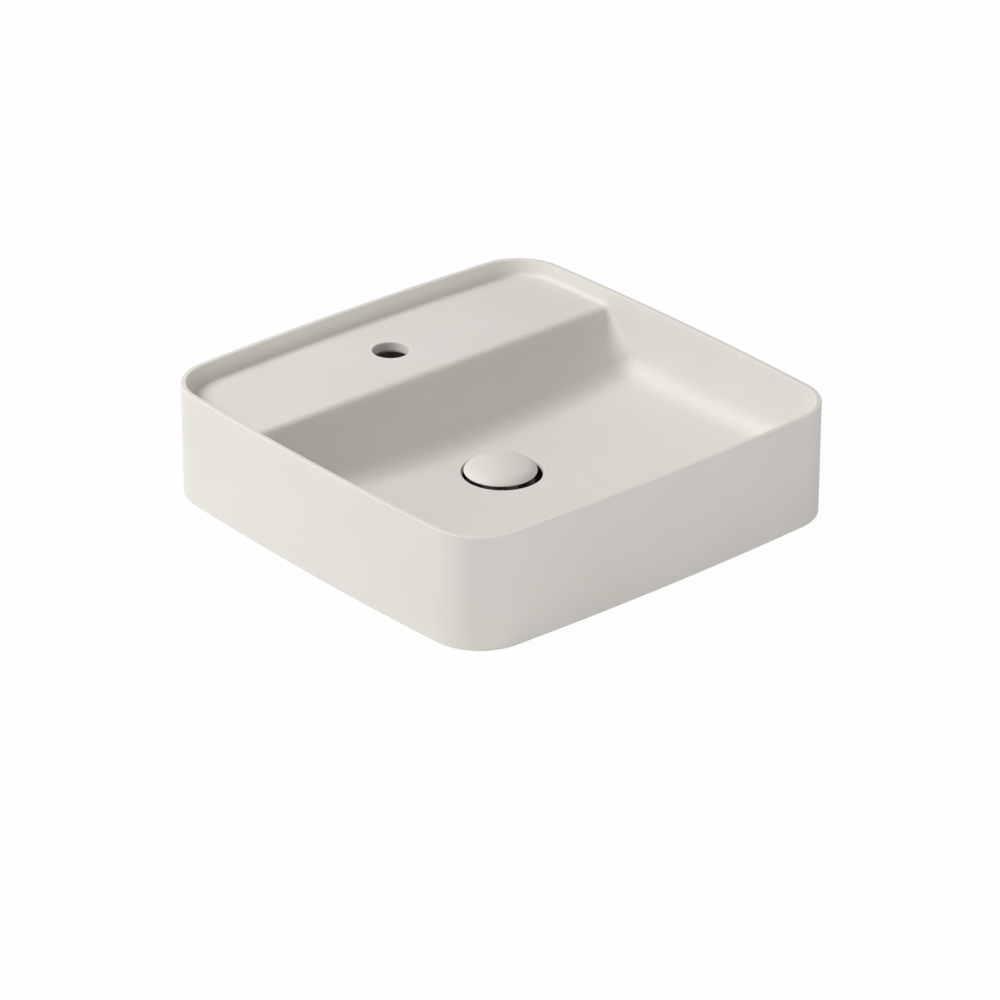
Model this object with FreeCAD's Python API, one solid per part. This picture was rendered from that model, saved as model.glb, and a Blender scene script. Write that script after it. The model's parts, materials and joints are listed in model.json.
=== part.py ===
import FreeCAD, Part
import math
import os
from FreeCAD import Vector

# Square countertop basin with a tap ledge and a push-to-close waste under a ceramic cap.
# Lengths are in millimetres. The origin is the middle of the base on the counter, +Z is up,
# +Y points to the wall behind the ledge and +X to the right of someone standing at the basin.

# Basin, outside
WIDTH = 450.0
DEPTH = 453.0
HEIGHT = 111.0
SIDE_BOW = 7.1            # how far the middle of a side stands out beyond its ends
CORNER_R = 52.0
RIM = 5.0                 # wall at the rim
RIM_ROUND = 1.0
BASE_ROUND = 1.0

# Basin, inside
WALL_LEAN = 4.0           # inward lean of the inner wall from the rim to the floor
FLOOR_Z = 29.2            # lowest point of the dished floor, on the waste hole's axis
DISH_R = 1980.0
FLOOR_ROUND = 20.0        # round between floor and wall
LEDGE_Z = 95.0
LEDGE_FRONT = 98.6        # straight front edge of the ledge
LEDGE_ROUND = 7.5         # round of that edge
APRON_ANGLE = 58.0        # apron below the ledge, measured from level
APRON_FOOT_ROUND = 24.0   # round between apron and floor
APRON_ROUND = 5.0         # round between the walls and the ledge and apron

# Basin, underneath
SKIRT = 10.0              # wall that stands on the counter
FLOOR_T = 11.0
LEDGE_T = 10.0
APRON_T = 10.0
BOSS_R = 40.0             # thick ring round the waste hole
BOSS_T = 7.5

# Tap hole
TAP_Y = 156.2
TAP_HOLE_R = 17.5
TAP_HOLE_ROUND = 0.7

# Waste hole
DRAIN_Y = -3.6
WELL_R = 36.6
WELL_DEPTH = 11.7
WELL_BEVEL_DROP = 2.6     # from the floor's lowest point to the foot of the bevel round the well
WELL_BEVEL_ANGLE = 58.0   # measured from level
WELL_LIP_ROUND = 1.0      # round of the bevel's edges
DRAIN_R = 23.5
WASTE_OFF_X = -1.4        # the waste is clamped a little off the hole's middle, within its slack
WASTE_OFF_Y = 1.2

# Waste: flanged tail and the pieces that clamp it to the basin
FLANGE_R = 32.0
FLANGE_T = 2.5
FLANGE_ROUND = 0.8
SEAT_R = 24.0             # top of the cone that the plug closes on
SEAT_DEPTH = 4.0
NECK_R = 21.5
NECK_H = 3.0
THREAD_R = 20.95
TAIL_R = 20.0             # plain end for the trap
TAIL_BORE_R = 18.0
TAIL_THREAD_END = -5.0
TAIL_END = -46.0
TAIL_CHAMFER = 1.0
FLANGE_GASKET_T = 1.0
UNDER_GASKET_R = 29.0
UNDER_GASKET_TAPER = 2.0  # smaller by this at the washer
UNDER_GASKET_T = 3.0
SLIP_WASHER_R = 28.0
SLIP_WASHER_T = 1.0
BACK_NUT_FLATS = 50.0
BACK_NUT_T = 5.5
WEB_ARMS = 4
WEB_TURN = 45.0           # turn of the first arm from the basin's +X
WEB_ARM_W = 3.0
WEB_H = 6.0
HUB_R = 7.5

# Latch cartridge in the tail
BARREL_R = 8.0
BARREL_BORE_R = 6.2
BARREL_H = 32.0
BARREL_FLOOR_T = 3.0
STUD_R = 4.0
STUD_NUT_FLATS = 13.0
STUD_NUT_T = 5.0
STUD_END = 0.8            # stud left standing below its nut
GUIDE_HEAD_T = 1.5
GUIDE_DEPTH = 6.0
STEM_R = 3.0
COLLAR_R = 5.4
COLLAR_T = 3.0
STEM_TIP_R = 2.4
ROTOR_R = 5.6
ROTOR_T = 4.6
ROTOR_TEETH = 4
ROTOR_TOOTH_DROP = 1.2
CLIP_R = 3.6
CLIP_T = 0.8
CLIP_GROOVE = 0.5
STEM_TIP_END = 0.8        # tip left standing below the clip
SPRING_R = 4.7            # to the middle of the wire
SPRING_WIRE_R = 0.45
SPRING_TURNS = 6

# Plug
TRAVEL = 6.0              # from open, as built, to closed
CAP_R = 33.9
CAP_DOME = 9.8            # from the top of the side to the crown
CAP_SLOPE = 3.8           # height of the sloping edge, up to where it would meet the crown
CAP_SLOPE_ANGLE = 50.0    # measured from level
CAP_SHOULDER = 14.0       # radius between the sloping edge and the crown
CAP_SIDE = 1.2
CAP_EDGE = 0.5            # radius of the rolled edges
SEAL_R = 22.2             # to the middle of the ring's section
SEAL_SECTION_R = 1.75
SEAL_SQUASH_GAP = 0.15    # left between ring and seat when closed
CARRIER_R = 23.1
CARRIER_LAND = 0.65       # carrier above and below the ring
CARRIER_BOSS_R = 6.5
CARRIER_BOSS_H = 8.0
CARRIER_ROOF = 2.0        # left above the stem's hole
STEM_NUT_FLATS = 10.0
STEM_NUT_T = 5.0

# Clearances
THREAD_GAP = 0.05         # radial, between threaded pieces, drawn plain at the thread's crest
RUNNING_GAP = 0.05        # radial, for a shaft that slides or turns in a hole
STOP_GAP = 0.2            # between faces that meet at a stop
SEAT_GAP = 0.5            # radial, between the plug's carrier and the seat when closed
RUBBER_GAP = 0.2          # radial, between the gaskets and the tail
REACH = 8.0               # how far a cutting shape stands clear of the face it opens
TOUCH = 1e-3              # two shapes nearer than this share the point

# Heights that follow from these
SEAT_Z = FLOOR_Z - WELL_DEPTH
BOSS_Z = SEAT_Z - BOSS_T
FLANGE_Z = SEAT_Z + FLANGE_GASKET_T
FLANGE_TOP = FLANGE_Z + FLANGE_T
UNDER_GASKET_Z = BOSS_Z - UNDER_GASKET_T
SLIP_WASHER_Z = UNDER_GASKET_Z - SLIP_WASHER_T
BACK_NUT_Z = SLIP_WASHER_Z - BACK_NUT_T
STUD_NUT_Z = TAIL_END + TAIL_CHAMFER + STUD_END
HUB_Z = STUD_NUT_Z + STUD_NUT_T
BARREL_Z = HUB_Z + WEB_H
BARREL_TOP = BARREL_Z + BARREL_H
BARREL_FLOOR = BARREL_Z + BARREL_FLOOR_T
GUIDE_Z = BARREL_TOP - GUIDE_DEPTH
COLLAR_TOP = GUIDE_Z - STOP_GAP
COLLAR_Z = COLLAR_TOP - COLLAR_T
ROTOR_TOP = COLLAR_Z - STOP_GAP
ROTOR_Z = ROTOR_TOP - ROTOR_T
CLIP_TOP = ROTOR_Z - STOP_GAP
CLIP_Z = CLIP_TOP - CLIP_T
STEM_TIP_Z = CLIP_Z - STEM_TIP_END
SEAT_SLOPE = math.atan2(SEAT_DEPTH, SEAT_R - TAIL_BORE_R)
SEAL_CLOSED_Z = FLANGE_TOP + ((SEAL_SECTION_R - (SEAT_R - SEAL_R) * math.sin(SEAT_SLOPE))
                              / math.cos(SEAT_SLOPE))
SEAL_Z = SEAL_CLOSED_Z + TRAVEL + SEAL_SQUASH_GAP
CAP_Z = SEAL_Z + SEAL_SECTION_R + CARRIER_LAND
CARRIER_Z = SEAL_Z - SEAL_SECTION_R - CARRIER_LAND
CARRIER_FOOT_R = SEAT_R - (FLANGE_TOP - CARRIER_Z + TRAVEL) / math.tan(SEAT_SLOPE) - SEAT_GAP
CARRIER_BOSS_Z = CARRIER_Z - CARRIER_BOSS_H
STEM_TOP = CAP_Z - CARRIER_ROOF - STOP_GAP
STEM_NUT_Z = CARRIER_BOSS_Z - STEM_NUT_T

HOLE_AXIS = Vector(0, DRAIN_Y, 0)
WASTE_AXIS = HOLE_AXIS + Vector(WASTE_OFF_X, WASTE_OFF_Y, 0)
UP = Vector(0, 0, 1)


def bow_radius(half_chord, bow):
    return (half_chord ** 2 + bow ** 2) / (2 * bow)


SIDE_R = bow_radius(DEPTH / 2, SIDE_BOW)
END_R = bow_radius(WIDTH / 2, SIDE_BOW)
SIDE_CENTRE = Vector(WIDTH / 2 - SIDE_R, 0, 0)
END_CENTRE = Vector(0, DEPTH / 2 - END_R, 0)


def corner_centre():
    """Centre of the corner arc that touches the right side and the back from inside."""
    side_reach = SIDE_R - CORNER_R
    end_reach = END_R - CORNER_R
    span = END_CENTRE.sub(SIDE_CENTRE)
    along = (side_reach ** 2 - end_reach ** 2 + span.Length ** 2) / (2 * span.Length)
    across = math.sqrt(side_reach ** 2 - along ** 2)
    step_along = Vector(span).normalize().multiply(along)
    step_across = Vector(-span.y, span.x, 0).normalize().multiply(across)
    return SIDE_CENTRE.add(step_along).add(step_across)


def arc(first, middle, last):
    return Part.Arc(first, middle, last).toShape()


def outline(inset, z):
    """Plan outline moved inwards by inset: four bowed sides and four round corners."""
    corner = corner_centre()
    to_side = corner.sub(SIDE_CENTRE).normalize()
    to_end = corner.sub(END_CENTRE).normalize()
    on_side = SIDE_CENTRE.add(to_side * (SIDE_R - inset))
    on_end = END_CENTRE.add(to_end * (END_R - inset))
    middle = corner.add((to_side + to_end).normalize() * (CORNER_R - inset))
    side = Vector(WIDTH / 2 - inset, 0, 0)
    end = Vector(0, DEPTH / 2 - inset, 0)

    def at(point, across, along):
        return Vector(point.x * across, point.y * along, z)

    edges = []
    for s in (1, -1):
        edges.append(arc(at(on_side, s, -s), at(side, s, s), at(on_side, s, s)))
        edges.append(arc(at(on_side, s, s), at(middle, s, s), at(on_end, s, s)))
        edges.append(arc(at(on_end, s, s), at(end, s, s), at(on_end, -s, s)))
        edges.append(arc(at(on_end, -s, s), at(middle, -s, s), at(on_side, -s, s)))
    return Part.Wire(edges)


def block(inset, low, high):
    return Part.Face(outline(inset, low)).extrude(UP * (high - low))


def level_edges(shape, z):
    """Edges that lie flat at one height."""
    return [edge for edge in shape.Edges
            if abs(edge.BoundBox.ZMin - z) < TOUCH and abs(edge.BoundBox.ZMax - z) < TOUCH]


def touches(skin, point):
    return skin.distToShape(Part.Vertex(point))[0] < TOUCH


def along_edge(edge, share):
    return edge.valueAt(edge.FirstParameter + share * (edge.LastParameter - edge.FirstParameter))


def runs_on(skin, edge):
    """Whether an edge lies on a skin over its whole length."""
    return all(touches(skin, along_edge(edge, share)) for share in (0.2, 0.5, 0.8))


def rounded(shape, rounds):
    """Round edges of a solid. A round is an edge's number and its radius at both ends."""
    sheet = FreeCAD.newDocument()
    base = sheet.addObject("Part::Feature")
    base.Shape = shape
    fillet = sheet.addObject("Part::Fillet")
    fillet.Base = base
    fillet.Edges = rounds
    sheet.recompute()
    result = fillet.Shape.Solids[0]
    FreeCAD.closeDocument(sheet.Name)
    return result


def turned(points):
    """Solid turned about the waste axis from a closed outline of (radius, height) points."""
    corners = [Vector(r, 0, h) for r, h in points]
    face = Part.Face(Part.makePolygon(corners + corners[:1]))
    solid = face.revolve(Vector(0, 0, 0), UP, 360)
    solid.translate(WASTE_AXIS)
    return solid


def ring(inner, outer, low, high):
    return turned([(inner, low), (outer, low), (outer, high), (inner, high)])


def disc(axis, radius, low, high):
    return Part.makeCylinder(radius, high - low, axis + UP * low)


def hex_nut(flats, bore, low, high):
    """Hexagon nut on the waste axis with its corners turned off at both ends."""
    corner = flats / math.sqrt(3)
    points = [Vector(corner * math.cos(k * math.pi / 3), corner * math.sin(k * math.pi / 3), low)
              for k in range(6)]
    nut = Part.Face(Part.makePolygon(points + points[:1])).extrude(UP * (high - low))
    nut.translate(WASTE_AXIS)
    drop = (corner - flats / 2) * math.tan(math.pi / 6)
    turning = turned([(bore, low), (flats / 2, low), (corner, low + drop), (corner, high - drop),
                      (flats / 2, high), (bore, high)])
    return nut.common(turning)


def apron_block(edge, top, bottom):
    """Everything behind a sloping face, given the height and place of its top edge."""
    run = (top - bottom) / math.tan(math.radians(APRON_ANGLE))
    half = WIDTH / 2 + REACH
    points = [Vector(-half, edge, top), Vector(-half, edge - run, bottom)]
    points += [Vector(-half, DEPTH, bottom), Vector(-half, DEPTH, top)]
    return Part.Face(Part.makePolygon(points + points[:1])).extrude(Vector(2 * half, 0, 0))


def ball(radius, centre):
    """Ball with its poles and seam lying level, clear of its top and bottom."""
    shape = Part.makeSphere(radius)
    shape.rotate(Vector(0, 0, 0), Vector(0, 1, 0), 90)
    shape.rotate(Vector(0, 0, 0), Vector(1, 0, 0), 90)
    shape.translate(centre)
    return shape


def dish(radius):
    """Ball whose lowest part is the dished floor."""
    return ball(radius, HOLE_AXIS + UP * (FLOOR_Z + DISH_R))


def bowl_cavity():
    """Inside of the basin: leaning walls, dished floor, apron and ledge, with their rounds."""
    low = FLOOR_Z - REACH
    high = HEIGHT + REACH
    lean = WALL_LEAN / (HEIGHT - FLOOR_Z)
    walls = Part.makeLoft([outline(RIM + lean * (HEIGHT - z), z) for z in (low, high)], True, True)

    apron = apron_block(LEDGE_FRONT, LEDGE_Z, 0)
    front = [edge for edge in level_edges(apron, LEDGE_Z) if edge.BoundBox.YMax < LEDGE_FRONT + TOUCH]
    apron = apron.makeFillet(LEDGE_ROUND, front)
    floor = dish(DISH_R)
    room = block(-REACH, 0, high).common(floor).cut(apron)
    apron_skin = apron.Shells[0]
    floor_skin = floor.Shells[0]
    foot = [edge for edge in room.Edges if runs_on(apron_skin, edge) and runs_on(floor_skin, edge)]
    room = room.makeFillet(APRON_FOOT_ROUND, foot)

    cavity = walls.common(room)
    wall_skin = Part.makeShell([face for face in walls.Faces if isinstance(face.Surface, Part.Cone)])
    rounds = []
    for number, edge in enumerate(cavity.Edges, 1):
        if edge.BoundBox.ZMax > LEDGE_Z + TOUCH or not runs_on(wall_skin, edge):
            continue
        ends = []
        for end in (edge.valueAt(edge.FirstParameter), edge.valueAt(edge.LastParameter)):
            ends.append(FLOOR_ROUND if touches(floor_skin, end) else APRON_ROUND)
        rounds.append((number, ends[0], ends[1]))
    return rounded(cavity, rounds)


def basin_body():
    body = block(0, 0, HEIGHT)
    body = body.makeFillet(RIM_ROUND, level_edges(body, HEIGHT))
    body = body.makeFillet(BASE_ROUND, level_edges(body, 0))
    cavity = bowl_cavity()
    body = body.cut(cavity)
    inner_rim = [edge for edge in level_edges(body, HEIGHT) if runs_on(cavity.Shells[0], edge)]
    body = body.makeFillet(RIM_ROUND, inner_rim)

    under_floor = block(SKIRT, -REACH, LEDGE_Z - LEDGE_T).cut(dish(DISH_R + FLOOR_T))
    slope = math.radians(APRON_ANGLE)
    chamber_edge = LEDGE_FRONT + APRON_T / math.sin(slope) - LEDGE_T / math.tan(slope)
    chamber = apron_block(chamber_edge, LEDGE_Z - LEDGE_T, -REACH)
    chamber = chamber.common(block(SKIRT, -REACH, LEDGE_Z - LEDGE_T))
    body = body.cut(under_floor).cut(chamber)

    body = body.fuse(disc(HOLE_AXIS, BOSS_R, BOSS_Z, FLOOR_Z - FLOOR_T / 2))
    well = disc(HOLE_AXIS, WELL_R, SEAT_Z, HEIGHT)
    bevel_z = FLOOR_Z - WELL_BEVEL_DROP
    bevel_h = WELL_BEVEL_DROP + REACH
    bevel_r = WELL_R + bevel_h / math.tan(math.radians(WELL_BEVEL_ANGLE))
    bevel = Part.makeCone(WELL_R, bevel_r, bevel_h, HOLE_AXIS + UP * bevel_z)
    body = body.cut(well).cut(bevel)
    lip = [edge for edge in body.Edges if edge.Closed and runs_on(bevel.Shells[0], edge)]
    body = body.makeFillet(WELL_LIP_ROUND, lip)
    body = body.cut(disc(HOLE_AXIS, DRAIN_R, BOSS_Z - REACH, HEIGHT))

    tap_hole = Part.makeCylinder(TAP_HOLE_R, HEIGHT, Vector(0, TAP_Y, LEDGE_Z - LEDGE_T - REACH))
    body = body.cut(tap_hole)
    mouth = [edge for edge in level_edges(body, LEDGE_Z) if runs_on(tap_hole.Shells[0], edge)]
    return body.makeFillet(TAP_HOLE_ROUND, mouth).Solids[0]


def waste_body():
    """Flange, threaded neck and tail in one, with a cross web that carries the latch."""
    body = turned([(TAIL_BORE_R, TAIL_END), (TAIL_R - TAIL_CHAMFER, TAIL_END),
                   (TAIL_R, TAIL_END + TAIL_CHAMFER), (TAIL_R, TAIL_THREAD_END),
                   (THREAD_R, TAIL_THREAD_END + THREAD_R - TAIL_R),
                   (THREAD_R, FLANGE_Z - NECK_H - (NECK_R - THREAD_R)), (NECK_R, FLANGE_Z - NECK_H),
                   (NECK_R, FLANGE_Z), (FLANGE_R, FLANGE_Z), (FLANGE_R, FLANGE_TOP - FLANGE_ROUND),
                   (FLANGE_R - FLANGE_ROUND, FLANGE_TOP), (SEAT_R, FLANGE_TOP),
                   (TAIL_BORE_R, FLANGE_TOP - SEAT_DEPTH)])
    web = disc(WASTE_AXIS, HUB_R, HUB_Z, BARREL_Z)
    for k in range(WEB_ARMS):
        arm = Part.makeBox((TAIL_BORE_R + TAIL_R) / 2, WEB_ARM_W, WEB_H, Vector(0, -WEB_ARM_W / 2, HUB_Z))
        arm.rotate(Vector(0, 0, 0), UP, WEB_TURN + 360 * k / WEB_ARMS)
        arm.translate(WASTE_AXIS)
        web = web.fuse(arm)
    body = body.fuse(web).removeSplitter()
    return body.cut(disc(WASTE_AXIS, STUD_R + THREAD_GAP, HUB_Z - REACH, BARREL_Z + REACH))


def flange_gasket():
    return ring(NECK_R + RUBBER_GAP, FLANGE_R - FLANGE_ROUND, SEAT_Z, FLANGE_Z)


def under_gasket():
    """Tapered rubber washer pressed against the boss."""
    inner = THREAD_R + RUBBER_GAP
    return turned([(inner, UNDER_GASKET_Z), (UNDER_GASKET_R - UNDER_GASKET_TAPER, UNDER_GASKET_Z),
                   (UNDER_GASKET_R, BOSS_Z), (inner, BOSS_Z)])


def slip_washer():
    return ring(THREAD_R + RUBBER_GAP, SLIP_WASHER_R, SLIP_WASHER_Z, UNDER_GASKET_Z)


def back_nut():
    return hex_nut(BACK_NUT_FLATS, THREAD_R + THREAD_GAP, BACK_NUT_Z, SLIP_WASHER_Z)


def latch_barrel():
    inner = BARREL_BORE_R
    return turned([(0, STUD_NUT_Z - STUD_END), (STUD_R, STUD_NUT_Z - STUD_END), (STUD_R, BARREL_Z),
                   (BARREL_R, BARREL_Z), (BARREL_R, BARREL_TOP), (inner, BARREL_TOP),
                   (inner, BARREL_FLOOR), (0, BARREL_FLOOR)])


def barrel_locknut():
    return hex_nut(STUD_NUT_FLATS, STUD_R + THREAD_GAP, STUD_NUT_Z, HUB_Z)


def barrel_guide():
    bore = STEM_R + RUNNING_GAP
    shank = BARREL_BORE_R - THREAD_GAP
    head = BARREL_TOP + GUIDE_HEAD_T
    return turned([(bore, GUIDE_Z), (shank, GUIDE_Z), (shank, BARREL_TOP), (BARREL_R, BARREL_TOP),
                   (BARREL_R, head), (bore, head)])


def plug_stem():
    groove = STEM_TIP_R - CLIP_GROOVE
    return turned([(0, STEM_TIP_Z), (STEM_TIP_R, STEM_TIP_Z), (STEM_TIP_R, CLIP_Z), (groove, CLIP_Z),
                   (groove, CLIP_TOP), (STEM_TIP_R, CLIP_TOP), (STEM_TIP_R, COLLAR_Z), (COLLAR_R, COLLAR_Z),
                   (COLLAR_R, COLLAR_TOP), (STEM_R, COLLAR_TOP), (STEM_R, STEM_TOP), (0, STEM_TOP)])


def rotor_clip():
    """Open snap ring in the groove of the stem's tip."""
    clip = ring(STEM_TIP_R - CLIP_GROOVE, CLIP_R, CLIP_Z, CLIP_TOP)
    mouth = Part.makeBox(CLIP_R + REACH, STEM_TIP_R, CLIP_T, Vector(0, -STEM_TIP_R / 2, CLIP_Z))
    mouth.translate(WASTE_AXIS)
    return clip.cut(mouth)


def latch_rotor():
    """Ring with ratchet teeth on its upper rim: each tooth is a ramp with a steep end."""
    bore = STEM_TIP_R + RUNNING_GAP
    rotor = ring(bore, ROTOR_R, ROTOR_Z, ROTOR_TOP)
    pitch = 360 / ROTOR_TEETH
    for k in range(ROTOR_TEETH):
        notch = Part.makeBox(2 * ROTOR_R, 2 * ROTOR_R, ROTOR_T, Vector(0, 0, ROTOR_TOP - ROTOR_TOOTH_DROP))
        notch.rotate(Vector(0, 0, ROTOR_TOP - ROTOR_TOOTH_DROP), Vector(1, 0, 0),
                     math.degrees(math.atan2(ROTOR_TOOTH_DROP, ROTOR_R)))
        notch.rotate(Vector(0, 0, 0), UP, k * pitch)
        notch.translate(WASTE_AXIS)
        rotor = rotor.cut(notch)
    return rotor.fuse(ring(bore, (bore + ROTOR_R) / 2, ROTOR_Z, ROTOR_TOP)).removeSplitter()


def biarc(start, start_way, finish, finish_way):
    """Two arcs that leave start and reach finish along the given directions."""
    span = finish - start
    ways = start_way + finish_way
    turn = 2 * (1 - start_way.dot(finish_way))
    reach = (math.sqrt(span.dot(ways) ** 2 + turn * span.dot(span)) - span.dot(ways)) / turn
    first_corner = start + start_way * reach
    last_corner = finish - finish_way * reach
    joint = (first_corner + last_corner) * 0.5
    return [corner_arc(start, first_corner, joint), corner_arc(joint, last_corner, finish)]


def corner_arc(first, corner, last):
    """Arc that touches both arms of a corner at their ends."""
    chord_middle = (first + last) * 0.5
    half = (corner - first).getAngle(corner - last) / 2
    arm = (corner - first).Length
    inward = chord_middle - corner
    share = (arm / math.cos(half) - arm * math.tan(half)) / inward.Length
    return arc(first, corner + inward * share, last)


def latch_spring():
    """Wound wire between the barrel's floor and the rotor, a quarter turn to each pair of arcs."""
    low = BARREL_FLOOR + STOP_GAP + SPRING_WIRE_R
    high = ROTOR_Z - STOP_GAP - SPRING_WIRE_R
    steps = 4 * SPRING_TURNS
    rise = (high - low) / (2 * math.pi * SPRING_TURNS)

    def wire_at(angle):
        place = Vector(SPRING_R * math.cos(angle), SPRING_R * math.sin(angle), low + rise * angle)
        way = Vector(-SPRING_R * math.sin(angle), SPRING_R * math.cos(angle), rise).normalize()
        return place, way

    edges = []
    for k in range(steps):
        start, start_way = wire_at(k * math.pi / 2)
        finish, finish_way = wire_at((k + 1) * math.pi / 2)
        edges += biarc(start, start_way, finish, finish_way)
    path = Part.Wire(edges)
    start, start_way = wire_at(0)
    section = Part.Wire(Part.makeCircle(SPRING_WIRE_R, start, start_way))
    spring = path.makePipeShell([section], True, False)
    print("spring: least gap between turns", round(least_gap(path) - 2 * SPRING_WIRE_R, 2), "mm")
    spring.translate(WASTE_AXIS)
    return spring


def least_gap(path):
    """Least distance between points of a wound path that lie more than half a turn apart."""
    points = [point for edge in path.Edges for point in edge.discretize(6)[:-1]]
    half_turn = len(points) // (2 * SPRING_TURNS)
    return min((points[i] - points[j]).Length for i in range(len(points))
               for j in range(i + half_turn, len(points)))


def plug_cap():
    """Shallow ceramic dome: a wide crown, a rounder shoulder, a thin rolled edge and a flat underside."""
    side_z = CAP_Z + CAP_SIDE
    apex = side_z + CAP_DOME
    inset = 1 / math.tan(math.radians(CAP_SLOPE_ANGLE))
    crown_rise = CAP_DOME - CAP_SLOPE
    crown_r = ((CAP_R - CAP_SLOPE * inset) ** 2 + crown_rise ** 2) / (2 * crown_rise)
    cap = turned([(0, CAP_Z), (CAP_R, CAP_Z), (CAP_R, side_z), (CAP_R - CAP_DOME * inset, apex), (0, apex)])
    cap = cap.common(ball(crown_r, WASTE_AXIS + UP * (apex - crown_r)))
    shoulder = [edge for edge in cap.Edges if edge.Closed and edge.BoundBox.ZMin > side_z + TOUCH]
    cap = cap.makeFillet(CAP_SHOULDER, shoulder)
    return cap.makeFillet(CAP_EDGE, level_edges(cap, CAP_Z) + level_edges(cap, side_z))


def cap_carrier():
    """Disc glued under the cap: a groove for the seal and a boss that takes the stem."""
    groove = SEAL_R - SEAL_SECTION_R
    bore = STEM_R + THREAD_GAP
    return turned([(bore, CARRIER_BOSS_Z), (CARRIER_BOSS_R, CARRIER_BOSS_Z), (CARRIER_BOSS_R, CARRIER_Z),
                   (CARRIER_FOOT_R, CARRIER_Z), (CARRIER_FOOT_R, SEAL_Z - SEAL_SECTION_R),
                   (groove, SEAL_Z - SEAL_SECTION_R), (groove, SEAL_Z + SEAL_SECTION_R),
                   (CARRIER_R, SEAL_Z + SEAL_SECTION_R), (CARRIER_R, CAP_Z),
                   (0, CAP_Z), (0, CAP_Z - CARRIER_ROOF), (bore, CAP_Z - CARRIER_ROOF)])


def cap_seal():
    return Part.makeTorus(SEAL_R, SEAL_SECTION_R, WASTE_AXIS + UP * SEAL_Z)


def stem_locknut():
    return hex_nut(STEM_NUT_FLATS, STEM_R + THREAD_GAP, STEM_NUT_Z, CARRIER_BOSS_Z)


PIECES = (basin_body, waste_body, flange_gasket, under_gasket, slip_washer, back_nut, latch_barrel,
          barrel_locknut, barrel_guide, latch_spring, latch_rotor, rotor_clip, plug_stem, stem_locknut,
          cap_carrier, cap_seal, plug_cap)

os.makedirs("parts", exist_ok=True)
for piece in PIECES:
    shape = piece()
    solid = shape.Solids[0] if shape.Solids else shape
    print(piece.__name__, "valid", solid.isValid(), "solids", len(shape.Solids),
          "volume", round(solid.Volume, 1),
          "z", round(solid.BoundBox.ZMin, 2), round(solid.BoundBox.ZMax, 2))
    solid.exportStep("parts/" + piece.__name__ + ".step")
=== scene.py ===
# %% [markdown]
# A square ceramic basin stands on a counter: bowed sides, round corners, a thin rim, a ledge for
# a tap at the back, a sloping apron below it, and a domed ceramic cap over the waste. The solids
# come from the CAD model, in metres, so no shape is fitted by eye. The colours and the light are
# set against the photograph. This lesson dresses the solids: first the finishes, then the two
# pieces that need more than a finish, then light and camera.

# %% Load the frame
import json
import math

import bmesh
import bpy
from mathutils import Matrix, Vector

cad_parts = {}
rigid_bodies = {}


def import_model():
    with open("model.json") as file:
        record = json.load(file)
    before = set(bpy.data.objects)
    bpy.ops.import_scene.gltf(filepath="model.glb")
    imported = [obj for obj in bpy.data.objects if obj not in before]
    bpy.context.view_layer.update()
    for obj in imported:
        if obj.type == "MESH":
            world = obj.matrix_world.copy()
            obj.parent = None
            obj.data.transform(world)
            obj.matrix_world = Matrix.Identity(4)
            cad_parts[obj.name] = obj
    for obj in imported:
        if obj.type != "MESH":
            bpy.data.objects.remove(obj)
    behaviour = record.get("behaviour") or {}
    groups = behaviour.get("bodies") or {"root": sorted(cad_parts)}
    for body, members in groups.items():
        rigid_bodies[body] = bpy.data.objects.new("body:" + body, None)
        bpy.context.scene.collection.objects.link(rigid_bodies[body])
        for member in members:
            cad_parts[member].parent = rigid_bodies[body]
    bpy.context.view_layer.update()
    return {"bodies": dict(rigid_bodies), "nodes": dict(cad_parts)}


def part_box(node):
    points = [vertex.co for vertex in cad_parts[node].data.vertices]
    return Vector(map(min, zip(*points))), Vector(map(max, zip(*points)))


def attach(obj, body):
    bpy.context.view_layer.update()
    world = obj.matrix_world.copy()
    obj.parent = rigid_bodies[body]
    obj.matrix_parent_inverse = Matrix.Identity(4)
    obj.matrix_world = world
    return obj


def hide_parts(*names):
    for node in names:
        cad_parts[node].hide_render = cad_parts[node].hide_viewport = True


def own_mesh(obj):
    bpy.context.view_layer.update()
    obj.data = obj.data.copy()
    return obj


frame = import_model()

MM = 0.001
nodes = frame["nodes"]

# %% [markdown]
# Blender's start file brings a cube, a lamp and a camera of its own. They are taken out, so that
# only the frame is left.

# %% Clear the start file
ours = set(nodes.values()) | set(frame["bodies"].values())
for spare in [thing for thing in bpy.data.objects if thing not in ours]:
    bpy.data.objects.remove(spare)

# %% [markdown]
# A finish is a small network of shader nodes. Networks are quick to draw and slow to read as code,
# so a wrapped socket takes part in Python arithmetic here: mask * 0.3 adds a Math node and
# returns its output. One method makes every other node: settings first, then its sockets.

# %% Write shader maths as Python


class Wire:
    """An output socket that can be added, multiplied and so on."""

    def __init__(self, network, socket):
        self.network = network
        self.socket = socket

    def math(self, operation, first, second):
        return self.network.node("ShaderNodeMath", {"operation": operation}, {0: first, 1: second})

    def __add__(self, other):
        return self.math("ADD", self, other)

    def __radd__(self, other):
        return self.math("ADD", other, self)

    def __sub__(self, other):
        return self.math("SUBTRACT", self, other)

    def __rsub__(self, other):
        return self.math("SUBTRACT", other, self)

    def __mul__(self, other):
        return self.math("MULTIPLY", self, other)

    def __rmul__(self, other):
        return self.math("MULTIPLY", other, self)

    def __abs__(self):
        return self.math("ABSOLUTE", self, 0)

    def root(self):
        return self.math("SQRT", self, 0)

    def larger(self, other):
        return self.math("MAXIMUM", self, other)

    def step(self, low, high):
        """0 below low, 1 above high, and a smooth rise between them."""
        return self.network.node("ShaderNodeMapRange", {"interpolation_type": "SMOOTHSTEP"},
                                 {"Value": self, "From Min": low, "From Max": high})


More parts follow.
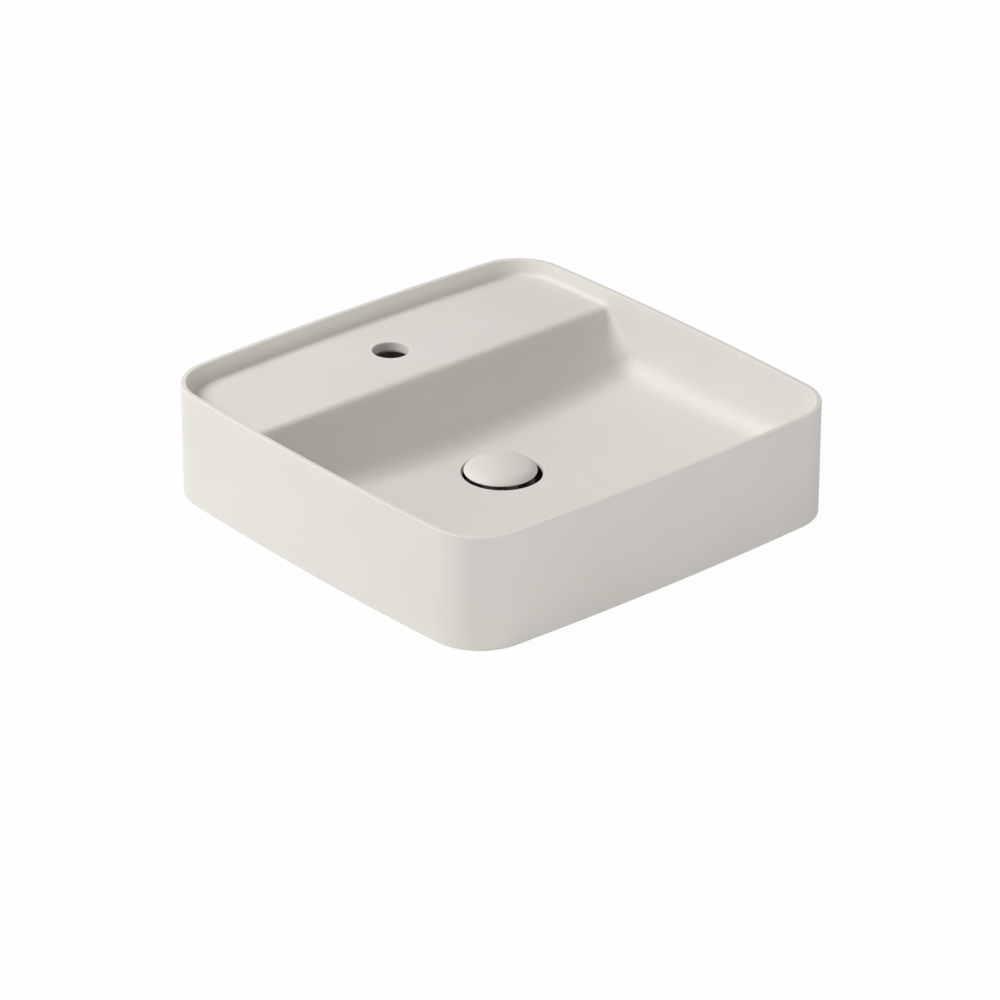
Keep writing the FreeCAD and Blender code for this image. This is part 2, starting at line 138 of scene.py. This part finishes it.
class Network:
    """A node tree and the one method that adds nodes to it."""

    def __init__(self, tree):
        self.tree = tree

    def node(self, kind, settings=None, sockets=None, output=0):
        node = self.tree.nodes.new(kind)
        for name, value in (settings or {}).items():
            setattr(node, name, value)
        for name, value in (sockets or {}).items():
            self.put(node.inputs[name], value)
        return Wire(self, node.outputs[output])

    def put(self, socket, value):
        if isinstance(value, Wire):
            self.tree.links.new(value.socket, socket)
        else:
            socket.default_value = value

    def seen_directly(self):
        """1 for rays from the camera, a mirror or a glass, and 0 for the light that they carry."""
        camera, glossy, clear = (self.node("ShaderNodeLightPath", output=name)
                                 for name in ("Is Camera Ray", "Is Glossy Ray", "Is Transmission Ray"))
        return camera.larger(glossy).larger(clear)


class Finish(Network):
    """A material's network, with the patterns that finishes are made of."""

    def __init__(self, name):
        self.material = bpy.data.materials.new(name)
        self.material.use_nodes = True
        super().__init__(self.material.node_tree)
        self.shader = self.tree.nodes["Principled BSDF"]

    def surface(self, **sockets):
        for name, value in sockets.items():
            self.put(self.shader.inputs[name.replace("_", " ").title()], value)

    def place(self):
        return self.node("ShaderNodeTexCoord", output="Object")

    def axes(self):
        """The three coordinates of a place, each as a number."""
        return [self.node("ShaderNodeSeparateXYZ", sockets={0: self.place()}, output=axis) for axis in "XYZ"]

    def distance(self, axis):
        """Distance from an upright axis."""
        flat = self.node("ShaderNodeVectorMath", {"operation": "MULTIPLY"}, {0: self.place(), 1: (1, 1, 0)})
        return self.node("ShaderNodeVectorMath", {"operation": "DISTANCE"}, {0: flat, 1: axis}, "Value")

    def noise(self, grain, detail=2.0):
        """Noise whose lumps are about grain wide, in metres."""
        return self.node("ShaderNodeTexNoise", sockets={"Vector": self.place(), "Scale": 1 / grain,
                                                        "Detail": detail})

    def mix(self, share, first, second):
        """A colour between two colours."""
        return self.node("ShaderNodeMix", {"data_type": "RGBA"}, {0: share, 6: first, 7: second}, 2)

    def bump(self, height, depth):
        """Bend the normals by a height between 0 and 1 that stands for depth, in metres."""
        normal = self.node("ShaderNodeBump", sockets={"Height": height, "Distance": depth, "Strength": 1.0})
        self.put(self.shader.inputs["Normal"], normal)

    def overlay(self, share, other):
        """Show another shader in place of the finish's own, by a share between 0 and 1."""
        own = Wire(self, self.shader.outputs[0])
        both = self.node("ShaderNodeMixShader", sockets={0: share, 1: own, 2: other})
        self.put(self.tree.nodes["Material Output"].inputs["Surface"], both)


print("helpers for finishes:", Wire.__name__, Network.__name__, Finish.__name__)

# %% [markdown]
# Only what shows of a basin is glazed. The foot is wiped before firing and the hollow below the
# floor and the ledge is never sprayed, so both stay raw, rough clay. A mask finds that hollow from
# the place alone: about half the skirt's wall in from the outline, and below a border that runs
# inside the clay. The border follows the middle of the dished floor, climbs with the apron, and
# runs just above the underside of the ledge, so that nearly all of the tap hole's wall is glazed.

# %% Raw clay underneath
CORNER_R = 52.0 * MM
SIDE_BOW = 7.1 * MM
SKIRT = 10.0 * MM
DISH_R = 1.98
FLOOR_BORDER = 23.7 * MM
LEDGE_BORDER = 86.5 * MM
APRON_FRONT = 101.4 * MM
APRON_SLOPE = math.tan(math.radians(58))
BORDER_BLUR = 1.0 * MM
half = (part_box("basin_body")[1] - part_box("basin_body")[0]) / 2


def raw_hollow(finish):
    x, y, z = finish.axes()
    side = (abs(x) + y * y * (SIDE_BOW / half.y ** 2) - (half.x - CORNER_R)).larger(0)
    end = (abs(y) + x * x * (SIDE_BOW / half.x ** 2) - (half.y - CORNER_R)).larger(0)
    inset = CORNER_R - (side * side + end * end).root()
    floor_border = FLOOR_BORDER + (x * x + y * y) * (0.5 / DISH_R)
    apron_border = LEDGE_BORDER - (APRON_FRONT - y).larger(0) * APRON_SLOPE
    above = (z - floor_border.larger(apron_border)).step(-BORDER_BLUR, BORDER_BLUR)
    return inset.step(0.4 * SKIRT, 0.6 * SKIRT) * (1 - above)


print("outline in mm:", [round(2 * side / MM, 1) for side in half])

# %% [markdown]
# The gap round the cap reads as one dark line, so the well under the cap is painted near-black:
# painted shade for the deep shade in the gap. The well is part of the basin's own mesh. Cutting it
# off as a piece would change that mesh, so a mask picks it out instead, by height and by distance
# from the hole's axis.

# %% Painted shade in the well
HOLE_AXIS = Vector((0, -3.6 * MM, 0))
WELL_R = 37.0 * MM
WELL_LOW = 17.0 * MM
WELL_LIP = 26.0 * MM
WELL_BLUR = 0.2 * MM
# Near-black painted shade for the well, where the gap round the cap lies in shade.
WELL_SHADE_PAINT = (0.006, 0.006, 0.006, 1)


# Mask of the painted shade: the well's wall from the seat to just under the lip.
def painted_shade_well(finish, height):
    near_axis = 1 - finish.distance(HOLE_AXIS).step(WELL_R, WELL_R + WELL_BLUR)
    above_seat = height.step(WELL_LOW - WELL_BLUR, WELL_LOW)
    above_lip = height.step(WELL_LIP, WELL_LIP + 2 * WELL_BLUR)
    return near_axis * (above_seat - above_lip)


print("black well in mm:", [round(v / MM, 1) for v in (WELL_R, WELL_LOW, WELL_LIP)])

# %% [markdown]
# The basin and the cap carry one matt glaze: a warm white that drifts a little in tone, since a
# sprayed coat is never quite even. Under it runs the faint orange peel of a fired glaze. The
# painted shade in the well is a near-black shader of its own, mixed in by the mask, because it also
# shines less than the white: its Specular IOR Level is lower, and the export doesn't bake a change
# in that socket.

# %% Glaze
GLAZE = (0.735, 0.712, 0.668, 1)
GLAZE_THIN = (0.700, 0.676, 0.630, 1)
RAW_CLAY = (0.500, 0.440, 0.360, 1)
DRIFT_GRAIN = 110.0 * MM
SPECKLE_GRAIN = 1.2 * MM
PEEL_GRAIN = 3.5 * MM
SWELL_GRAIN = 30.0 * MM
PEEL_DEPTH = 0.02 * MM
WIPED_LOW = 0.7 * MM
WIPED_HIGH = 1.2 * MM
WIPE_GRAIN = 4.0 * MM
WIPE_WANDER = 0.8 * MM


def matt_glaze():
    finish = Finish("matt_glaze")
    drift = finish.noise(DRIFT_GRAIN)
    speckle = finish.noise(SPECKLE_GRAIN)
    tone = finish.mix((drift * 0.7 + speckle * 0.3).step(0.25, 0.75), GLAZE_THIN, GLAZE)
    height = finish.axes()[2]
    wiped = 1 - (height + finish.noise(WIPE_GRAIN) * WIPE_WANDER).step(WIPED_LOW, WIPED_HIGH)
    raw = wiped.larger(raw_hollow(finish))
    finish.surface(base_color=finish.mix(raw, tone, RAW_CLAY),
                   roughness=0.56 + drift * 0.06 + speckle * 0.04 + raw * 0.25)
    finish.bump(finish.noise(PEEL_GRAIN) * 0.6 + finish.noise(SWELL_GRAIN) * 0.4, PEEL_DEPTH)
    # Painted shade: a near-black, low-shine shader laid over the well by the mask.
    black = finish.node("ShaderNodeBsdfPrincipled", sockets={
        "Base Color": WELL_SHADE_PAINT, "Roughness": 0.7 + speckle * 0.1, "Specular IOR Level": 0.1})
    finish.overlay(painted_shade_well(finish, height), black)
    return finish.material


glaze = matt_glaze()
print("glaze:", len(glaze.node_tree.nodes), "nodes")

# %% [markdown]
# The nuts and the latch's barrel are bare brass, and the stem and the wire spring are steel. A
# polished metal shows its age in the roughness rather than in the colour: brass dulls in patches,
# steel keeps wiping marks, and a turned part keeps fine rings.

# %% Metals
RING_GRAIN = 2.2 * MM
RING_DEPTH = 0.004 * MM
SCRATCH_GRAIN = 0.8 * MM


def metal(name, clean, dulled, roughness, spread, grain):
    finish = Finish(name)
    patches = finish.noise(grain, 4.0)
    dull = patches.step(0.45, 0.75)
    rings = finish.node("ShaderNodeTexWave", {"bands_direction": "Z"},
                        {"Vector": finish.place(), "Scale": 1 / RING_GRAIN, "Distortion": 0.6})
    finish.surface(base_color=finish.mix(dull, clean, dulled), metallic=1.0,
                   roughness=roughness + dull * spread + rings * (spread / 4))
    finish.bump(rings * 0.7 + finish.noise(SCRATCH_GRAIN) * 0.3, RING_DEPTH)
    return finish.material


brass = metal("brass", clean=(0.66, 0.46, 0.19, 1), dulled=(0.42, 0.27, 0.11, 1),
              roughness=0.22, spread=0.24, grain=8.0 * MM)
steel = metal("steel", clean=(0.50, 0.50, 0.50, 1), dulled=(0.38, 0.37, 0.35, 1),
              roughness=0.20, spread=0.18, grain=6.0 * MM)
print("metals:", brass.name, steel.name)

# %% [markdown]
# The rest is coated or moulded: a black coat on the waste, black rubber for the seals, a dark
# carrier under the cap, pale nylon for the slip washer and the latch. Such surfaces are dull and
# even, with a fine grain from the spray or the mould and a bloom of dust in patches.

# %% Coated and moulded finishes
BLOOM_GRAIN = 9.0 * MM


def dull_skin(name, fresh, bloomed, roughness, grain, depth):
    finish = Finish(name)
    bloom = finish.noise(BLOOM_GRAIN, 5.0).step(0.4, 0.8)
    pores = finish.noise(grain)
    finish.surface(base_color=finish.mix(bloom, fresh, bloomed),
                   roughness=roughness + bloom * 0.12 - pores * 0.08)
    finish.bump(pores, depth)
    return finish.material


black_coat = dull_skin("black_coat", fresh=(0.014, 0.014, 0.015, 1), bloomed=(0.022, 0.022, 0.022, 1),
                       roughness=0.50, grain=0.5 * MM, depth=0.01 * MM)
rubber = dull_skin("rubber", fresh=(0.016, 0.016, 0.017, 1), bloomed=(0.034, 0.033, 0.031, 1),
                   roughness=0.62, grain=0.7 * MM, depth=0.02 * MM)
carrier = dull_skin("carrier", fresh=(0.022, 0.022, 0.024, 1), bloomed=(0.032, 0.032, 0.033, 1),
                    roughness=0.46, grain=0.4 * MM, depth=0.01 * MM)
nylon = dull_skin("nylon", fresh=(0.72, 0.70, 0.63, 1), bloomed=(0.66, 0.63, 0.54, 1),
                  roughness=0.44, grain=0.6 * MM, depth=0.01 * MM)
print("coated and moulded:", black_coat.name, rubber.name, carrier.name, nylon.name)

# %% [markdown]
# Each solid whose shape is already right keeps its CAD mesh and only changes its finish.

# %% Dress the solids
DRESS = {
    glaze: ("basin_body", "plug_cap"),
    brass: ("back_nut", "latch_barrel", "barrel_locknut", "barrel_guide"),
    steel: ("plug_stem", "rotor_clip", "stem_locknut"),
    rubber: ("flange_gasket", "under_gasket", "cap_seal"),
    carrier: ("cap_carrier",),
    nylon: ("slip_washer", "latch_rotor"),
}
for material, names in DRESS.items():
    for name in names:
        nodes[name].material_slots[0].material = material
print("dressed:", sum(len(names) for names in DRESS.values()), "of", len(nodes))

# %% [markdown]
# Blender keeps a mesh, a lamp or a camera apart from the object that shows it in the scene. Every
# new thing below takes the same few steps from one to the other, so they are written once.

# %% Helpers for new things


def finished_mesh(name, shape, material):
    """A mesh of one material, from a bmesh that isn't needed afterwards."""
    mesh = bpy.data.meshes.new(name)
    shape.to_mesh(mesh)
    shape.free()
    mesh.materials.append(material)
    return mesh


def smooth(mesh, crease):
    """Shade a mesh smooth, except where faces meet at more than a crease, in degrees."""
    mesh.shade_smooth()
    mesh.set_sharp_from_angle(angle=math.radians(crease))


def shown(name, data):
    """An object in the scene, at the origin, for a mesh, a lamp or a camera."""
    thing = bpy.data.objects.new(name, data)
    bpy.context.scene.collection.objects.link(thing)
    return thing


def upright_axis(low, high):
    """The middle of a box, seen from above, from its two corners."""
    return Vector(((low.x + high.x) / 2, (low.y + high.y) / 2, 0))


waste_low, waste_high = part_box("waste_body")
waste_axis = upright_axis(waste_low, waste_high)
print("waste's axis in mm:", [round(v / MM, 2) for v in waste_axis.xy])

# %% [markdown]
# The CAD model draws the thread on the waste as a plain band at the thread's crest. A bump in the
# finish would leave the outline straight, so the thread is modelled. First a copy of the mesh,
# merged into one skin, has its band drawn in to the thread's root.

# %% Root of the thread
CREST_R = 20.95 * MM
ROOT_R = 19.5 * MM
BAND_SLACK = 0.02 * MM
WELD = 0.001 * MM


def radius(vert):
    return (vert.co - waste_axis).xy.length


tail = bmesh.new()
tail.from_mesh(nodes["waste_body"].data)
bmesh.ops.remove_doubles(tail, verts=tail.verts, dist=WELD)
band = [vert for vert in tail.verts if abs(radius(vert) - CREST_R) < BAND_SLACK]
band_low = min(vert.co.z for vert in band)
band_high = max(vert.co.z for vert in band)
shrink = ROOT_R / CREST_R
bmesh.ops.scale(tail, vec=(shrink, shrink, 1), space=Matrix.Translation(-waste_axis), verts=band)
print("band:", len(band), "vertices, from", round(band_low / MM, 2), "to", round(band_high / MM, 2), "mm")

# %% [markdown]
# Then one ridge is wound round the root. A ridge is a small outline that Spin turns about the axis
# while it climbs by a pitch each turn. It sinks a little into the root, so that no gap can show.

# %% Ridge of the thread
SUNK_R = 19.3 * MM
PITCH = 2.309 * MM
HALF_FOOT = 0.44 * PITCH
HALF_CREST = 0.07 * PITCH
STEPS_A_TURN = 72

turns = int((band_high - band_low) / PITCH - 1)
foot = waste_axis + Vector((0, 0, (band_low + band_high - turns * PITCH) / 2))
flank = ((SUNK_R, -HALF_FOOT), (CREST_R, -HALF_CREST), (CREST_R, HALF_CREST), (SUNK_R, HALF_FOOT))
plain = set(tail.verts)
ring = [tail.verts.new(foot + Vector((reach, 0, rise))) for reach, rise in flank]
outline = [tail.edges.new((ring[k - 1], ring[k])) for k in range(len(ring))]
bmesh.ops.spin(tail, geom=ring + outline, cent=waste_axis, axis=(0, 0, 1), dvec=(0, 0, PITCH / STEPS_A_TURN),
               angle=turns * 2 * math.pi, steps=turns * STEPS_A_TURN, use_merge=False)
ridge = set(tail.verts) - plain
bmesh.ops.holes_fill(tail, edges=[edge for edge in tail.edges if edge.is_boundary], sides=len(ring))
print("ridge:", turns, "turns,", len(ridge), "vertices")

# %% [markdown]
# A cut thread is chamfered at its ends, so that a nut finds its way on. Near each end of the band
# the ridge is scaled in towards the root. The threaded waste then takes the place of the solid.

# %% Threaded waste
CHAMFER = 1.2 * MM
THREAD_CREASE = 32

for vert in ridge:
    depth = min(vert.co.z - band_low, band_high - vert.co.z) / CHAMFER
    limit = max(SUNK_R, ROOT_R + (CREST_R - ROOT_R) * min(depth, 1))
    squeeze = min(1, limit / radius(vert))
    bmesh.ops.scale(tail, vec=(squeeze, squeeze, 1), space=Matrix.Translation(-waste_axis), verts=[vert])
bmesh.ops.recalc_face_normals(tail, faces=tail.faces)
waste_mesh = finished_mesh("waste_threaded", tail, black_coat)
smooth(waste_mesh, THREAD_CREASE)
waste = shown("waste_threaded", waste_mesh)
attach(waste, "basin")
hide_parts("waste_body")
print("waste:", len(waste_mesh.polygons), "faces")

# %% [markdown]
# The latch's spring is wound from steel wire. It could keep its CAD mesh, but a solid that rides on
# a body keeps its length, and this one has to get shorter. So it is wound again to the same size:
# Spin turns a small circle about the axis while it climbs.

# %% Wire of the spring
WIRE_R = 0.45 * MM
WIRE_SIDES = 20
COIL_R = 4.7 * MM
COILS = 6


def wound_spring(axis, start, end):
    wire = bmesh.new()
    middle = axis + Vector((COIL_R, 0, start + WIRE_R))
    upright = Matrix.Translation(middle) @ Matrix.Rotation(math.pi / 2, 4, "X")
    bmesh.ops.create_circle(wire, segments=WIRE_SIDES, radius=WIRE_R, matrix=upright)
    climb = (end - start - 2 * WIRE_R) / (COILS * STEPS_A_TURN)
    bmesh.ops.spin(wire, geom=wire.verts[:] + wire.edges[:], cent=axis, axis=(0, 0, 1), dvec=(0, 0, climb),
                   angle=COILS * 2 * math.pi, steps=COILS * STEPS_A_TURN, use_merge=False)
    bmesh.ops.holes_fill(wire, edges=[edge for edge in wire.edges if edge.is_boundary], sides=WIRE_SIDES)
    bmesh.ops.recalc_face_normals(wire, faces=wire.faces)
    return finished_mesh("spring_wire", wire, steel)


coil_low, coil_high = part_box("latch_spring")
coil_axis = upright_axis(coil_low, coil_high)
spring_mesh = wound_spring(coil_axis, coil_low.z, coil_high.z)
print("wire:", COILS, "coils,", len(spring_mesh.polygons), "faces")

# %% [markdown]
# As the plug goes down by its stroke, the spring is pressed onto the barrel's floor. The wound piece
# takes the solid's place on the basin and gets a mesh of its own.

# %% Spring of the latch
WIRE_CREASE = 40

smooth(spring_mesh, WIRE_CREASE)
spring = shown("spring_wire", spring_mesh)
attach(spring, "basin")
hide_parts("latch_spring")
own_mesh(spring)

# %% [markdown]
# A plain pale floor stands for the counter top. To the camera, and in reflections, most of it is
# plain white; a share of it stays an ordinary matt surface, so that the basin keeps its shadow.

# %% Floor
FLOOR_HALF = 12.0
FLOOR_GREY = (0.65, 0.65, 0.65, 1)
FLOOR_WHITE_SHARE = 0.97
WHITE = (1, 1, 1, 1)


def floor_paper():
    finish = Finish("floor_paper")
    finish.surface(base_color=FLOOR_GREY, roughness=0.9)
    white = finish.node("ShaderNodeEmission", sockets={"Color": WHITE, "Strength": 1.0})
    finish.overlay(finish.seen_directly() * FLOOR_WHITE_SHARE, white)
    return finish.material


sheet = bmesh.new()
bmesh.ops.create_grid(sheet, x_segments=1, y_segments=1, size=FLOOR_HALF)
floor = shown("floor", finished_mesh("floor", sheet, floor_paper()))
print("floor:", 2 * FLOOR_HALF, "m square at z = 0")

# %% [markdown]
# A soft round lamp stands on the left, high and a little behind the basin, so the apron and the
# back wall lie in their own shade while the right wall, the ledge and the floor of the bowl are
# lit. A wide, low lamp in front lifts the front wall, and an even white sky fills the rest. A lamp
# is written as a vector: where it stands, and how brightly it lights a surface that faces it. All
# of them together light a level surface at about full strength, so a colour shows as written.

# %% Light
LAMP_DISTANCE = 3.0
KEY = Vector((-0.455, 0.305, 0.50))
KEY_SIZE = (1.4, 1.4)
FRONT = Vector((-0.05, -0.275, 0.018))
FRONT_SIZE = (2.5, 0.30)
SKY = 0.42


def area_lamp(name, light, size):
    data = bpy.data.lights.new(name, "AREA")
    data.shape = "ELLIPSE"
    data.size, data.size_y = size
    data.energy = light.length * (math.pi * LAMP_DISTANCE) ** 2
    lamp = shown(name, data)
    lamp.location = light.normalized() * LAMP_DISTANCE
    lamp.rotation_euler = light.to_track_quat("Z", "Y").to_euler()
    print("lamp", name, "at", [round(v, 2) for v in lamp.location], "m with", round(data.energy, 1), "W")


def studio_sky():
    world = bpy.data.worlds.new("studio")
    world.use_nodes = True
    network = Network(world.node_tree)
    dim = world.node_tree.nodes["Background"]
    network.put(dim.inputs["Color"], WHITE)
    network.put(dim.inputs["Strength"], SKY)
    white = network.node("ShaderNodeBackground", sockets={"Color": WHITE, "Strength": 1.0})
    shown = network.node("ShaderNodeMixShader", sockets={
        0: network.seen_directly(), 1: Wire(network, dim.outputs[0]), 2: white})
    network.put(world.node_tree.nodes["World Output"].inputs["Surface"], shown)
    return world


area_lamp("key", KEY, KEY_SIZE)
area_lamp("front", FRONT, FRONT_SIZE)
bpy.context.scene.world = studio_sky()
bpy.context.scene.view_settings.view_transform = "Standard"

# %% [markdown]
# The photograph is taken from the front left, a little above the rim, with a long lens. Its
# numbers come from fitting the basin's known outline to the picture.

# %% Camera
CAMERA_AZIMUTH = math.radians(-40.59)
CAMERA_ELEVATION = math.radians(27.03)
CAMERA_DISTANCE = 4.6369
CAMERA_DROP = 1.17 * MM
FOCAL_PIXELS = 5049.6
IMAGE_PIXELS = 1000
SENSOR_WIDTH = 36.0
VIEW_END = 100.0

camera_data = bpy.data.cameras.new("camera")
camera_data.sensor_width = SENSOR_WIDTH
camera_data.lens = SENSOR_WIDTH * FOCAL_PIXELS / IMAGE_PIXELS
camera_data.clip_end = VIEW_END
camera = shown("camera", camera_data)
turn = Matrix.Rotation(CAMERA_AZIMUTH, 4, "Z") @ Matrix.Rotation(math.pi / 2 - CAMERA_ELEVATION, 4, "X")
camera.matrix_world = turn @ Matrix.Translation((0, -CAMERA_DROP, CAMERA_DISTANCE))
bpy.context.scene.camera = camera
print("camera at", [round(v, 3) for v in camera.location], "lens", round(camera_data.lens, 1), "mm")
